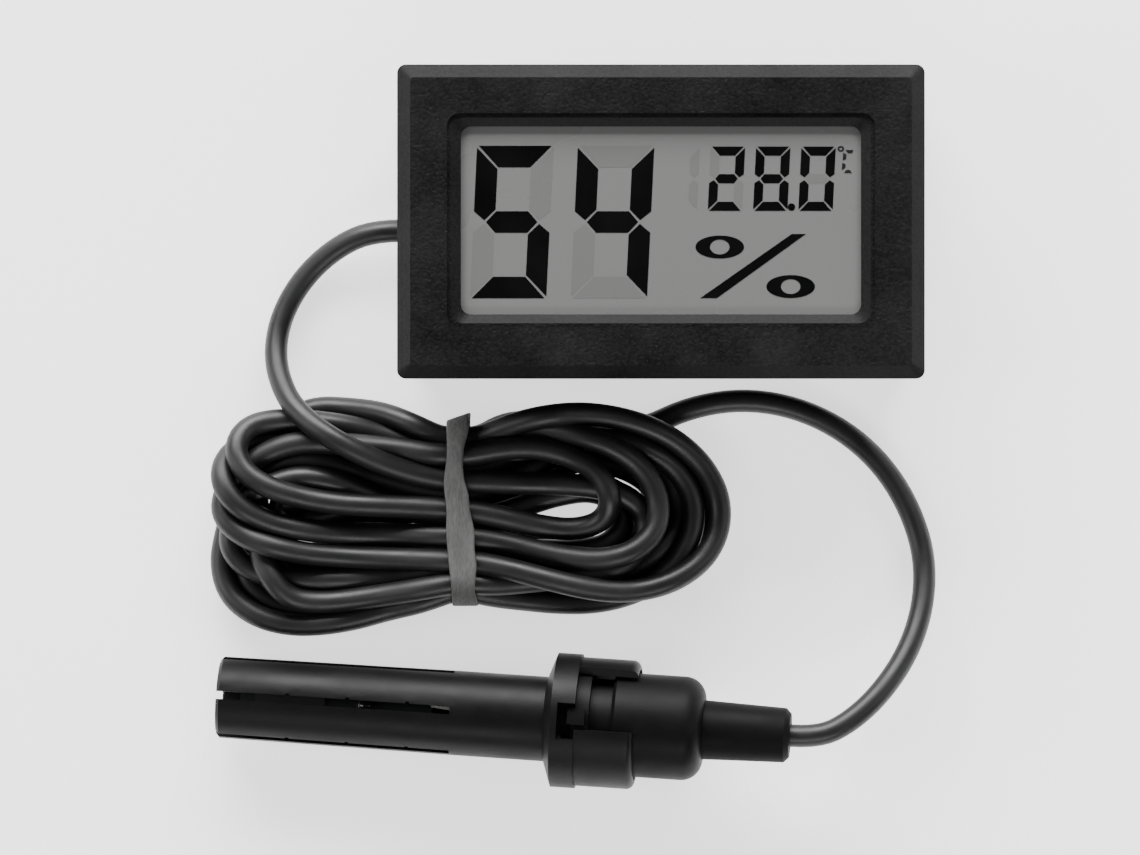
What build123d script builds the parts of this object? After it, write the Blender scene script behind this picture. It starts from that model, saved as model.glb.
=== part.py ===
"""A panel thermometer and hygrometer with a wired probe, in millimetres, +Z up.

The display lies on its back on z = 0 with its screen facing +Z, and the origin is the centre of
its case's back face. Its cable leaves the left short side, is wound into a hank held by a rubber
band, and ends in a slotted probe with a bayonet cap. Hank and probe lie on z = 0 too.
"""

import os
from math import cos, pi, radians, sin, tan

from build123d import *

# ---- display case ----
bezel_length, bezel_width = 48.0, 28.6  # outer size of the front flange
case_length, case_width = 45.8, 26.6  # case behind the flange
case_depth = 15.2  # back face to front face
flange_back = 12.6  # height of the flange's seat on a panel
bevel = 1.2  # width and depth of the flange's front bevel
case_wall = 1.2
case_corner = 1.5
plate_thickness = 1.2  # rear cover's plate

# ---- window and liquid crystal cell ----
window_length, window_width, window_corner = 36.4, 17.1, 0.95
recess_length, recess_width = 38.9, 19.5
recess_depth, recess_corner = 0.35, 1.2
lip_depth, lip_inset = 0.4, 0.4  # the lip starts this far inside the recess and falls to the window
screen_centre_y = 0.1
cell_top = 13.9
film_thickness = 0.2
glass_thickness = 1.1
cell_length = 37.8
cell_upper_edge, cell_lower_edge = 9.6, -11.3  # front glass, which carries the contact ledge
ledge_width = 2.0
film_length, film_width = 37.4, 18.3

# ---- circuit board ----
board_length, board_width, board_thickness = 42.6, 23.4, 1.2
board_underside = 7.5
boss_x, boss_y, boss_radius = 20.3, 10.85, 1.2
screw_radius, screw_hole_radius = 0.65, 0.7
screw_head_radius, screw_head_height, screw_length = 1.15, 0.9, 3.4

# ---- battery compartment ----
cell_radius, cell_height = 5.8, 5.4  # LR44 button cell
cell_x, cell_y = 5.95, 6.2
cell_bottom = 1.45
opening_half, opening_y = 12.3, 0.3  # the door's opening runs from opening_y out to the long edge
door_bottom, door_top = 0.2, 1.1
door_clearance = 0.1
tongue_reach, tongue_low, tongue_high = 0.45, 0.5, 0.85
bay_wall, bay_top = 0.8, 6.4

# ---- panel clips ----
clip_width, clip_thickness = 9.0, 0.8
clip_axis_height = 5.5
clip_tip_height = 12.0
clip_gap = 0.4
clip_reach = 0.95  # how far the teeth stand proud of the case
clip_slot_low, clip_slot_high = 4.9, 12.4

# ---- cable ----
cable_radius = 1.05
arc_share = 0.45  # share of the shorter run that each corner's arc takes
exit_y, exit_height = -0.7, 2.85
grommet_radius, grommet_outer_face, grommet_inner_face = 1.6, -23.6, -20.9
wire_radius = 0.3

# ---- hank and band ----
hank_height = 7.8
hank_top_rounding, hank_bottom_rounding = 2.6, 0.8
band_x, band_width, band_thickness = -18.3, 2.4, 0.8
band_core_y, band_core_width = -26.6, 15.8
band_core_low, band_core_height, band_core_corner = 0.9, 6.0, 2.4
waist_clearance = 0.05  # between the hank's waist and the band

# ---- probe, measured along its axis from the open tip ----
probe_swing = 3.8  # degrees that the axis turns towards -Y in plan
barrel_tip_radius, barrel_root_radius, barrel_bore = 3.73, 3.88, 3.05
barrel_taper_end = 22.0  # from here to the flange the barrel is a true cylinder
flange_radius = 6.15
flange_cone_start, flange_front, flange_rear = 30.1, 30.9, 33.1
skirt_radius, skirt_bore, skirt_end = 5.9, 5.1, 38.5
slot_count, slot_width, slot_length = 5, 0.73, 21.5
slot_turn = -4.0  # degrees from the axis that faces +Z
window_start, window_stop = 32.0, 97.0  # degrees round the axis from the side that faces +Y
notch_start, notch_stop, notch_front = 74.0, 106.0, 31.5
pocket_stop = 120.0
lug_start, lug_stop = 77.0, 92.5
ring_front, ring_rear, ring_radius = 32.7, 34.3, 5.0
lug_front, lug_rear, lug_radius = 32.4, 34.0, 5.5
lug_clearance = 0.12
neck_radius, cap_front, cap_radius, cap_rear = 4.0, 36.3, 4.75, 44.6
cap_shoulder = 1.9
spigot_front, spigot_radius, spigot_bore = 29.5, 2.9, 1.4
boot_radius, boot_end_radius, probe_length = 2.72, 2.5, 52.5
boot_core_front, boot_core_radius = 38.0, 2.12
boot_end_rounding = 0.45

os.makedirs("parts", exist_ok=True)


def finish(node, name):
    """Label a finished sub-part and write its STEP file."""
    node.part.label = name
    export_step(node.part, f"parts/{name}.step")


# ======================= display case =======================

clip_slot_height = clip_slot_high - clip_slot_low
clip_slot_width = clip_width + 2 * clip_gap
inner_length, inner_width = case_length - 2 * case_wall, case_width - 2 * case_wall
cell_middle_y = (cell_upper_edge + cell_lower_edge) / 2
cell_width = cell_upper_edge - cell_lower_edge
pocket_clearance = 0.2
bezel_corner, bezel_front_corner = 0.8, 0.3
board_top = board_underside + board_thickness
boss_height = flange_back - board_top
boss_places = [(x, y) for x in (-boss_x, boss_x) for y in (-boss_y, boss_y)]
snap_length, snap_depth, snap_height, snap_low = 7.0, 0.3, 0.6, 2.2
snap_places = [(x, side * inner_width / 2) for x in (-16.5, 16.5) for side in (-1, 1)]
bridge_slot_length, bridge_slot_top = 23.0, 1.65

with BuildPart() as front_bezel:
    with BuildSketch(Plane.XY.offset(flange_back)):
        RectangleRounded(bezel_length, bezel_width, bezel_corner)
    extrude(amount=case_depth - flange_back - bevel)
    with BuildSketch(Plane.XY.offset(case_depth - bevel)):
        RectangleRounded(bezel_length, bezel_width, bezel_corner)
    with BuildSketch(Plane.XY.offset(case_depth)):
        RectangleRounded(bezel_length - 2 * bevel, bezel_width - 2 * bevel, bezel_front_corner)
    loft()
    # the case's four walls
    with BuildSketch(Plane.XY.offset(plate_thickness)):
        RectangleRounded(case_length, case_width, case_corner)
        RectangleRounded(inner_length, inner_width, case_corner - case_wall / 2, mode=Mode.SUBTRACT)
    extrude(amount=flange_back - plate_thickness)
    # screw bosses in the corners
    with BuildSketch(Plane.XY.offset(board_top)):
        with Locations(*boss_places):
            Circle(boss_radius)
    extrude(amount=boss_height)
    with Locations(*[(x, y, board_top) for x, y in boss_places]):
        Cylinder(
            screw_hole_radius,
            screw_length,
            align=(Align.CENTER, Align.CENTER, Align.MIN),
            mode=Mode.SUBTRACT,
        )
    # sunk step round the window, its sloping lip and the window itself
    with BuildSketch(Plane.XY.offset(case_depth - recess_depth)):
        with Locations((0, screen_centre_y)):
            RectangleRounded(recess_length, recess_width, recess_corner)
    extrude(amount=recess_depth, mode=Mode.SUBTRACT)
    with BuildSketch(Plane.XY.offset(case_depth - recess_depth)):
        with Locations((0, screen_centre_y)):
            RectangleRounded(recess_length - 2 * lip_inset, recess_width - 2 * lip_inset, recess_corner - 0.1)
    with BuildSketch(Plane.XY.offset(case_depth - recess_depth - lip_depth)):
        with Locations((0, screen_centre_y)):
            RectangleRounded(window_length, window_width, window_corner)
    loft(mode=Mode.SUBTRACT)
    with BuildSketch(Plane.XY.offset(flange_back)):
        with Locations((0, screen_centre_y)):
            RectangleRounded(window_length, window_width, window_corner)
    extrude(amount=case_depth - flange_back, mode=Mode.SUBTRACT)
    # pocket that the liquid crystal cell lies in
    with BuildSketch(Plane.XY.offset(flange_back)):
        with Locations((0, cell_middle_y)):
            Rectangle(cell_length + pocket_clearance, cell_width + pocket_clearance)
    extrude(amount=cell_top - flange_back, mode=Mode.SUBTRACT)
    # slots for the two panel clips, the cable's hole, snap pockets and the bridge plate's way out
    clip_slot_middle = (clip_slot_low + clip_slot_high) / 2
    with Locations((-case_length / 2, 0, clip_slot_middle), (case_length / 2, 0, clip_slot_middle)):
        Box(3 * case_wall, clip_slot_width, clip_slot_height, mode=Mode.SUBTRACT)
    with Locations(Location((-case_length / 2, exit_y, exit_height), (0, 90, 0))):
        Cylinder(grommet_radius - 0.15, 3 * case_wall, mode=Mode.SUBTRACT)
    with Locations(*[(x, y, snap_low + snap_height / 2) for x, y in snap_places]):
        Box(snap_length + 0.4, 2 * snap_depth + 0.1, snap_height + 0.2, mode=Mode.SUBTRACT)
    with Locations((0, case_width / 2, plate_thickness)):
        Box(bridge_slot_length, 3 * case_wall, 2 * (bridge_slot_top - plate_thickness), mode=Mode.SUBTRACT)
finish(front_bezel, "front_bezel")

rim_thickness, rim_height, rim_clearance = 0.9, 2.2, 0.08
rim_length, rim_width = inner_length - 2 * rim_clearance, inner_width - 2 * rim_clearance
bay_half = 2 * cell_radius + 0.4
opening_length = case_width / 2 - opening_y
opening_middle = opening_y + opening_length / 2

with BuildPart() as rear_cover:
    with BuildSketch():
        RectangleRounded(case_length, case_width, case_corner)
    extrude(amount=plate_thickness)
    # rim that stands inside the case's walls, with its four snap ridges
    with BuildSketch(Plane.XY.offset(plate_thickness)):
        RectangleRounded(rim_length, rim_width, 0.8)
        Rectangle(rim_length - 2 * rim_thickness, rim_width - 2 * rim_thickness, mode=Mode.SUBTRACT)
    extrude(amount=rim_height)
    with Locations(*[(x, y, snap_low + snap_height / 2) for x, y in snap_places]):
        Box(snap_length, 2 * snap_depth, snap_height)
    # gap in the rim for the cable's grommet
    with Locations((-rim_length / 2, exit_y, plate_thickness + rim_height / 2)):
        Box(3 * rim_thickness, 2 * grommet_radius + 0.4, rim_height, mode=Mode.SUBTRACT)
    # opening for the battery door, and the way out above it
    with Locations((0, opening_middle, case_wall)):
        Box(2 * opening_half, opening_length, 4 * case_wall + rim_height, mode=Mode.SUBTRACT)
    # walls of the battery bay
    with BuildSketch(Plane.XY.offset(plate_thickness)):
        with Locations((0, opening_y - bay_wall / 2)):
            Rectangle(2 * (bay_half + bay_wall), bay_wall)
        for side in (-1, 1):
            with Locations((side * (bay_half + bay_wall / 2), (opening_y + inner_width / 2 - 0.1) / 2)):
                Rectangle(bay_wall, inner_width / 2 - 0.1 - opening_y)
    extrude(amount=bay_top - plate_thickness)
    # grooves that the battery door's tongues run in
    groove_height = tongue_high - tongue_low + 0.2
    for side in (-1, 1):
        with Locations((side * opening_half, opening_middle, (tongue_low + tongue_high) / 2)):
            Box(2 * (tongue_reach + door_clearance), opening_length, groove_height, mode=Mode.SUBTRACT)
finish(rear_cover, "rear_cover")

door_half = opening_half - door_clearance
door_length = opening_length - door_clearance
door_middle = case_width / 2 - door_length / 2
grip_edge, grip_pitch, grip_length, grip_groove, grip_depth = 2.4, 0.9, 9.0, 0.45, 0.3
with BuildPart() as battery_cover:
    with BuildSketch(Plane.XY.offset(door_bottom)):
        with Locations((0, door_middle)):
            Rectangle(2 * door_half, door_length)
    extrude(amount=door_top - door_bottom)
    with BuildSketch(Plane.XY.offset(tongue_low)):
        with Locations((0, door_middle)):
            Rectangle(2 * (door_half + tongue_reach), door_length)
    extrude(amount=tongue_high - tongue_low)
    # thumb grip: five short grooves near the outer edge
    with BuildSketch(Plane.XY.offset(door_bottom)):
        with Locations(*[(0, case_width / 2 - grip_edge - grip_pitch * row) for row in range(5)]):
            SlotOverall(grip_length, grip_groove)
    extrude(amount=grip_depth, mode=Mode.SUBTRACT)
finish(battery_cover, "battery_cover")

bridge_thickness = 0.2
with BuildPart() as contact_bridge:
    with BuildSketch(Plane.XY.offset(door_top)):
        with Locations((0, cell_y)):
            SlotOverall(4 * cell_radius - 3.4, 4.6)
            with Locations((-cell_x, 0), (cell_x, 0)):
                SlotOverall(3.2, 0.8, rotation=90, mode=Mode.SUBTRACT)
    extrude(amount=bridge_thickness)
finish(contact_bridge, "contact_bridge")

# ======================= panel clips =======================

clip_outer_x = case_length / 2
clip_inner_x = clip_outer_x - clip_thickness
clip_axis_x = clip_outer_x - clip_thickness / 2
tooth_count = 4
tooth_pitch = 1.25
teeth_top = clip_tip_height - 0.5


def clip_outline():
    """Corners of a clip's side profile, (x, z), for the clip on the +X side."""
    corners = [(clip_inner_x, clip_axis_height), (clip_inner_x, clip_tip_height)]
    corners.append((clip_outer_x, clip_tip_height))
    for tooth in range(tooth_count):
        top = teeth_top - tooth * tooth_pitch
        reach = clip_reach * (tooth_count - tooth) / tooth_count
        corners.append((clip_outer_x, top + 0.06 * (tooth == 0)))
        corners.append((clip_outer_x + reach, top - 0.15))
    corners.append((clip_outer_x, teeth_top - tooth_count * tooth_pitch - 0.2))
    corners.append((clip_outer_x, clip_axis_height))
    return corners


for clip_name, side in (("panel_clip_left", -1), ("panel_clip_right", 1)):
    with BuildPart() as panel_clip:
        with BuildSketch(Plane.XZ.offset(-clip_width / 2)):
            with BuildLine():
                Polyline(*[(side * x, z) for x, z in clip_outline()])
                ThreePointArc(
                    (side * clip_outer_x, clip_axis_height),
                    (side * clip_axis_x, clip_axis_height - clip_thickness / 2),
                    (side * clip_inner_x, clip_axis_height),
                )
            make_face()
        extrude(amount=clip_width)
    finish(panel_clip, clip_name)

# ======================= liquid crystal cell =======================

front_glass_top = cell_top - film_thickness
rear_glass_top = front_glass_top - glass_thickness
rear_glass_bottom = rear_glass_top - glass_thickness
reflector_bottom = rear_glass_bottom - film_thickness
rear_glass_width = cell_width - ledge_width

with BuildPart() as lcd_front_polariser:
    with BuildSketch(Plane.XY.offset(front_glass_top)):
        with Locations((0, screen_centre_y)):
            Rectangle(film_length, film_width)
    extrude(amount=film_thickness)
finish(lcd_front_polariser, "lcd_front_polariser")

with BuildPart() as lcd_front_glass:
    with BuildSketch(Plane.XY.offset(rear_glass_top)):
        with Locations((0, cell_middle_y)):
            Rectangle(cell_length, cell_width)
    extrude(amount=glass_thickness)
    chamfer(lcd_front_glass.edges().filter_by(Axis.Z), 0.3)
finish(lcd_front_glass, "lcd_front_glass")

with BuildPart() as lcd_rear_glass:
    with BuildSketch(Plane.XY.offset(rear_glass_bottom)):
        with Locations((0, cell_upper_edge - rear_glass_width / 2)):
            Rectangle(cell_length, rear_glass_width)
    extrude(amount=glass_thickness)
    chamfer(lcd_rear_glass.edges().filter_by(Axis.Z), 0.3)
finish(lcd_rear_glass, "lcd_rear_glass")

with BuildPart() as lcd_reflector:
    with BuildSketch(Plane.XY.offset(reflector_bottom)):
        with Locations((0, screen_centre_y)):
            Rectangle(film_length, film_width)
    extrude(amount=film_thickness)
finish(lcd_reflector, "lcd_reflector")

with BuildPart() as lcd_spacer_frame:
    with BuildSketch(Plane.XY.offset(board_top)):
        with Locations((0, screen_centre_y)):
            Rectangle(film_length, film_width)
            Rectangle(film_length - 2.0, film_width - 2.0, mode=Mode.SUBTRACT)
    extrude(amount=reflector_bottom - board_top)
finish(lcd_spacer_frame, "lcd_spacer_frame")

strip_width, strip_length = 1.5, 33.0
with BuildPart() as zebra_connector:
    with BuildSketch(Plane.XY.offset(board_top)):
        with Locations((0, cell_lower_edge + ledge_width / 2)):
            Rectangle(strip_length, strip_width)
    extrude(amount=rear_glass_top - board_top)
    fillet(zebra_connector.edges().filter_by(Axis.Z), 0.3)
finish(zebra_connector, "zebra_connector")

# ======================= circuit board and its parts =======================

notch_depth = 1.4
with BuildPart() as circuit_board:
    with BuildSketch(Plane.XY.offset(board_underside)):
        RectangleRounded(board_length, board_width, 0.6)
        with Locations((-board_length / 2, 0), (board_length / 2, 0)):
            Rectangle(2 * notch_depth, clip_slot_width + 1.0, mode=Mode.SUBTRACT)
        with Locations(*boss_places):
            Circle(screw_hole_radius + 0.05, mode=Mode.SUBTRACT)
    extrude(amount=board_thickness)
finish(circuit_board, "circuit_board")

with BuildPart() as board_screws:
    with Locations(*[(x, y, board_underside) for x, y in boss_places]):
        Cylinder(
            screw_radius,
            board_thickness + screw_length - 0.3,
            align=(Align.CENTER, Align.CENTER, Align.MIN),
        )
        Cylinder(screw_head_radius, screw_head_height, align=(Align.CENTER, Align.CENTER, Align.MAX))
    # cross recess in each head
    with BuildSketch(Plane.XY.offset(board_underside - screw_head_height)):
        with Locations(*boss_places):
            Rectangle(1.5, 0.35)
            Rectangle(0.35, 1.5)
    extrude(amount=0.5, mode=Mode.SUBTRACT)
finish(board_screws, "board_screws")

blob_radius, blob_height = 4.0, 1.3
with BuildPart() as controller_blob:
    with BuildSketch(Plane.XY.offset(board_top)):
        Circle(blob_radius)
    extrude(amount=blob_height)
    fillet(controller_blob.faces().sort_by(Axis.Z)[-1].edges(), blob_height - 0.1)
finish(controller_blob, "controller_blob")

crystal_radius, crystal_length = 1.0, 6.0
crystal_x, crystal_y = 11.0, -4.5
crystal_lead_radius, crystal_lead_length, crystal_lead_gap = 0.15, 2.2, 0.7
lead_x = crystal_x - crystal_length / 2 - 0.7
with BuildPart() as crystal_can:
    with Locations(Location((crystal_x, crystal_y, board_top + crystal_radius), (0, 90, 0))):
        Cylinder(crystal_radius, crystal_length)
    fillet(crystal_can.edges().filter_by(GeomType.CIRCLE), 0.25)
    for side in (-1, 1):
        lead_y = crystal_y + side * crystal_lead_gap / 2
        with Locations(Location((lead_x, lead_y, board_top + 2 * crystal_lead_radius), (0, 90, 0))):
            Cylinder(crystal_lead_radius, crystal_lead_length)
finish(crystal_can, "crystal_can")

chip_seat = (Align.CENTER, Align.CENTER, Align.MIN)
resistor_size, resistor_pitch, resistor_row_y = (0.8, 1.6, 0.45), 2.2, 5.2
resistor_xs = [7.0 + resistor_pitch * place for place in range(5)]
resistor_xs += [-13.6 + resistor_pitch * place for place in range(3)]
with BuildPart() as chip_resistors:
    with Locations(*[(x, resistor_row_y, board_top) for x in resistor_xs]):
        Box(*resistor_size, align=chip_seat)
finish(chip_resistors, "chip_resistors")

capacitor_size, capacitor_pitch, capacitor_row_y = (1.25, 2.0, 0.8), 3.0, -4.6
capacitor_xs = [-14.5 + capacitor_pitch * place for place in range(3)]
with BuildPart() as chip_capacitors:
    with Locations(*[(x, capacitor_row_y, board_top) for x in capacitor_xs]):
        Box(*capacitor_size, align=chip_seat)
finish(chip_capacitors, "chip_capacitors")

contact_sheet, contact_width = 0.25, 3.0
contact_foot_outer, contact_foot_inner, contact_leaf_outer, contact_leaf_inner = 12.6, 9.8, 8.6, 3.4
foot_level = board_underside - contact_sheet / 2
leaf_level = cell_bottom + cell_height + contact_sheet / 2
for contact_name, side in (("positive_contact", -1), ("negative_contact", 1)):
    with BuildPart() as battery_contact:
        # pressed strip: a foot on the board, a leg down, and a leaf along the cell's face
        with BuildSketch(Plane.XZ.offset(-cell_y - contact_width / 2)):
            with BuildLine():
                Polyline(
                    (side * contact_foot_outer, foot_level),
                    (side * contact_foot_inner, foot_level),
                    (side * contact_leaf_outer, leaf_level),
                    (side * contact_leaf_inner, leaf_level),
                )
                offset(amount=contact_sheet / 2, side=Side.BOTH)
            make_face()
        extrude(amount=contact_width)
    finish(battery_contact, contact_name)

cell_cap_height, cell_cap_step = 0.5, 0.6
for cell_name, side in (("button_cell_left", -1), ("button_cell_right", 1)):
    with BuildPart() as button_cell:
        with BuildSketch(Plane.XY.offset(cell_bottom)):
            with Locations((side * cell_x, cell_y)):
                Circle(cell_radius)
        extrude(amount=cell_height)
        # the negative cap is a little smaller than the can, on the lower face of the left cell
        # and on the upper face of the right one
        cap_is_low = side < 0
        cap_level = cell_bottom if cap_is_low else cell_bottom + cell_height - cell_cap_height
        with BuildSketch(Plane.XY.offset(cap_level)):
            with Locations((side * cell_x, cell_y)):
                Circle(cell_radius)
                Circle(cell_radius - cell_cap_step, mode=Mode.SUBTRACT)
        extrude(amount=cell_cap_height, mode=Mode.SUBTRACT)
        fillet(button_cell.edges().filter_by(GeomType.CIRCLE).sort_by(SortBy.RADIUS)[-1], 0.25)
    finish(button_cell, cell_name)

# ======================= cable entry =======================

grommet_flange = 0.55
with BuildPart() as cable_grommet:
    profile = Plane(origin=(0, exit_y, exit_height), x_dir=(1, 0, 0), z_dir=(0, -1, 0))
    with BuildSketch(profile):
        with BuildLine():
            Polyline(
                (grommet_outer_face, 0),
                (grommet_outer_face, grommet_radius - 0.2),
                (grommet_outer_face + 0.2, grommet_radius),
                (-case_length / 2, grommet_radius),
                (-case_length / 2, grommet_radius - 0.2),
                (-case_length / 2 + case_wall, grommet_radius - 0.2),
                (-case_length / 2 + case_wall, grommet_radius),
                (grommet_inner_face, grommet_radius - 0.2),
                (grommet_inner_face, 0),
                close=True,
            )
        make_face()
    revolve(axis=Axis((0, exit_y, exit_height), (1, 0, 0)))
finish(cable_grommet, "cable_grommet")

wire_pad_x, wire_pad_pitch, wire_bundle_pitch, wire_rise = -16.8, 1.9, 0.7, 1.2
with BuildPart() as display_lead_wires:
    for lane in (-1.5, -0.5, 0.5, 1.5):
        start = Vector(grommet_inner_face, exit_y + wire_bundle_pitch * lane, exit_height)
        pad_y = exit_y + wire_pad_pitch * lane
        with BuildLine() as wire_route:
            FilletPolyline(
                start,
                start + Vector(1.6, 0, 0),
                (wire_pad_x, pad_y, exit_height + wire_rise),
                (wire_pad_x, pad_y, board_underside),
                radius=[0.9, 0.9],
            )
        with BuildSketch(Plane(origin=wire_route.line @ 0, z_dir=wire_route.line % 0)):
            Circle(wire_radius)
        sweep(path=wire_route.line)
finish(display_lead_wires, "display_lead_wires")

# ======================= probe =======================

probe_tilt = 4.42  # degrees that the axis rises, so that both the tip and the flange rest on z = 0
probe_tip = Vector(-40.4, -43.4, barrel_tip_radius * cos(radians(probe_tilt)))
probe_axis = Vector(
    cos(radians(probe_tilt)) * cos(radians(probe_swing)),
    -cos(radians(probe_tilt)) * sin(radians(probe_swing)),
    sin(radians(probe_tilt)),
)
probe_side = Vector(sin(radians(probe_swing)), cos(radians(probe_swing)), 0)
probe_up = probe_axis.cross(probe_side)
probe_line = Axis(probe_tip, probe_axis)


def radial_plane(angle):
    """Plane through the probe's axis: x along it, y outwards at this angle from probe_side."""
    outwards = probe_side * cos(radians(angle)) + probe_up * sin(radians(angle))
    return Plane(origin=probe_tip, x_dir=probe_axis, z_dir=probe_axis.cross(outwards))


def ring_sector(start, stop, front, rear, inner, outer, mode):
    """Add or cut a sector of a ring round the probe's axis, start to stop in degrees."""
    with BuildSketch(radial_plane(start)) as section:
        with Locations(((front + rear) / 2, (inner + outer) / 2)):
            Rectangle(rear - front, outer - inner)
    revolve(section.sketch, axis=probe_line, revolution_arc=stop - start, mode=mode)


def turned(points):
    """Revolve a closed (along, radius) outline round the probe's axis."""
    with BuildSketch(radial_plane(0)) as section:
        with BuildLine():
            Polyline(*points, close=True)
        make_face()
    revolve(section.sketch, axis=probe_line)


bayonet_half_turns = (0, 180)
counterbore = 0.5
notch_floor = 4.5
slot_angles = [90 + slot_turn + slot * 360 / slot_count for slot in range(slot_count)]
slot_tick_places, tick_length, tick_depth = (6.6, 12.1, 17.6), 0.35, 0.36

with BuildPart() as probe_barrel:
    turned(
        [
            (0, barrel_bore + 0.15),
            (0, barrel_tip_radius - 0.35),
            (0.3, barrel_tip_radius),
            (barrel_taper_end, barrel_root_radius),
            (flange_cone_start, barrel_root_radius),
            (flange_front, flange_radius),
            (flange_rear, flange_radius),
            (flange_rear, skirt_radius),
            (skirt_end, skirt_radius),
            (skirt_end, skirt_bore),
            (flange_rear - counterbore, skirt_bore),
            (flange_rear - counterbore, barrel_bore),
            (0.15, barrel_bore),
        ]
    )
    rear_edges = probe_barrel.edges().filter_by(GeomType.CIRCLE).group_by(probe_line)[-1]
    fillet(rear_edges.sort_by(SortBy.RADIUS)[-1], 0.7)
    for half_turn in bayonet_half_turns:
        # window between the skirt's two wings, wide enough for a lug to pass
        ring_sector(
            window_start + half_turn,
            window_stop + half_turn,
            flange_rear,
            skirt_end + 1,
            skirt_bore - 0.5,
            skirt_radius + 1,
            Mode.SUBTRACT,
        )
        # notch in the flange that shows the lug, and the blind pocket that it locks in
        ring_sector(
            notch_start + half_turn,
            notch_stop + half_turn,
            notch_front,
            flange_rear + 0.01,
            notch_floor,
            flange_radius + 1,
            Mode.SUBTRACT,
        )
        ring_sector(
            window_stop + half_turn - 1,
            pocket_stop + half_turn,
            notch_front + 0.4,
            lug_rear + lug_clearance,
            notch_floor,
            lug_radius + lug_clearance,
            Mode.SUBTRACT,
        )
    # slots that open the barrel to the air, each with three small ticks in its edge
    for angle in slot_angles:
        outwards = radial_plane(angle)
        slot_plane = Plane(origin=probe_tip, x_dir=probe_axis, z_dir=outwards.y_dir)
        with BuildSketch(slot_plane.offset(barrel_bore - 0.6)):
            with Locations((slot_length / 2 - 0.5, 0)):
                Rectangle(slot_length + 1.0, slot_width)
            with Locations(*[(place, slot_width / 2) for place in slot_tick_places]):
                Rectangle(tick_length, tick_depth)
        extrude(amount=2.0, mode=Mode.SUBTRACT)
finish(probe_barrel, "probe_barrel")

shoulder_arc_middle = cap_shoulder * (1 - sin(pi / 4))
with BuildPart() as probe_cap:
    with BuildSketch(radial_plane(0)):
        with BuildLine():
            Polyline(
                (cap_rear, boot_core_radius),
                (boot_core_front, boot_core_radius),
                (boot_core_front, spigot_bore),
                (spigot_front, spigot_bore),
                (spigot_front, spigot_radius),
                (ring_front, spigot_radius),
                (ring_front, ring_radius),
                (ring_rear, ring_radius),
                (ring_rear, neck_radius),
                (cap_front, neck_radius),
                (cap_front, cap_radius - 0.3),
                (cap_front + 0.3, cap_radius),
                (cap_rear - cap_shoulder, cap_radius),
            )
            ThreePointArc(
                (cap_rear - cap_shoulder, cap_radius),
                (cap_rear - shoulder_arc_middle, cap_radius - shoulder_arc_middle),
                (cap_rear, cap_radius - cap_shoulder),
            )
            Line((cap_rear, cap_radius - cap_shoulder), (cap_rear, boot_core_radius))
        make_face()
    revolve(axis=probe_line)
    for half_turn in bayonet_half_turns:
        ring_sector(
            lug_start + half_turn,
            lug_stop + half_turn,
            lug_front,
            lug_rear,
            ring_radius - 0.3,
            lug_radius,
            Mode.ADD,
        )
finish(probe_cap, "probe_cap")

with BuildPart() as probe_boot:
    turned(
        [
            (boot_core_front, 0),
            (boot_core_front, boot_core_radius),
            (cap_rear, boot_core_radius),
            (cap_rear, boot_radius),
            (probe_length - boot_end_rounding, boot_end_radius),
            (probe_length, boot_end_radius - boot_end_rounding),
            (probe_length, 0),
        ]
    )
finish(probe_boot, "probe_boot")

sensor_front, sensor_rear, sensor_width, sensor_thickness = 2.0, 19.6, 5.2, 0.8
sensor_normal = radial_plane(90 + slot_turn)
sensor_plane = Plane(origin=probe_tip, x_dir=probe_axis, z_dir=sensor_normal.y_dir)
with BuildPart() as sensor_board:
    with BuildSketch(sensor_plane.offset(-sensor_thickness / 2)):
        with Locations(((sensor_front + sensor_rear) / 2, 0)):
            Rectangle(sensor_rear - sensor_front, sensor_width)
    extrude(amount=sensor_thickness)
    chamfer(sensor_board.edges().filter_by(Axis(probe_tip, sensor_plane.z_dir)), 0.5)
finish(sensor_board, "sensor_board")

element_middle, element_length, element_width, element_thickness = 6.6, 6.4, 4.4, 0.5
with BuildPart() as humidity_element:
    with BuildSketch(sensor_plane.offset(sensor_thickness / 2)):
        with Locations((element_middle, 0)):
            Rectangle(element_length, element_width)
    extrude(amount=element_thickness)
finish(humidity_element, "humidity_element")

bead_place, bead_radius = 13.6, 0.85
bead_height = sensor_thickness / 2 + bead_radius
with BuildPart() as thermistor_bead:
    with Locations(Location(probe_tip + probe_axis * bead_place + sensor_plane.z_dir * bead_height)):
        Sphere(bead_radius)
finish(thermistor_bead, "thermistor_bead")

with BuildPart() as sensor_lead_wires:
    # two pairs that cross between the sensor board and the cap's spigot
    for lane, level in ((1.5, 0.35), (-1.5, -0.35), (0.55, 1.1), (-0.55, -1.1)):
        across = sensor_plane.y_dir
        above = sensor_plane.z_dir * level
        with BuildLine() as wire_route:
            Polyline(
                probe_tip + probe_axis * sensor_rear + across * lane + above,
                probe_tip + probe_axis * spigot_front - across * 0.6 * lane + above,
            )
        with BuildSketch(Plane(origin=wire_route.line @ 0, z_dir=wire_route.line % 0)):
            Circle(wire_radius - 0.05)
        sweep(path=wire_route.line)
finish(sensor_lead_wires, "sensor_lead_wires")

# ======================= cable =======================

probe_end = probe_tip + probe_axis * probe_length


def corner_radii(points):
    """Radius of the arc at each corner of a route, as large as its two runs allow."""
    radii = []
    for before, corner, after in zip(points, points[1:], points[2:]):
        run_in, run_out = corner - before, after - corner
        half_turn = radians(run_in.get_angle(run_out) / 2)
        radii.append(arc_share * min(run_in.length, run_out.length) / tan(half_turn))
    return radii


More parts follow.
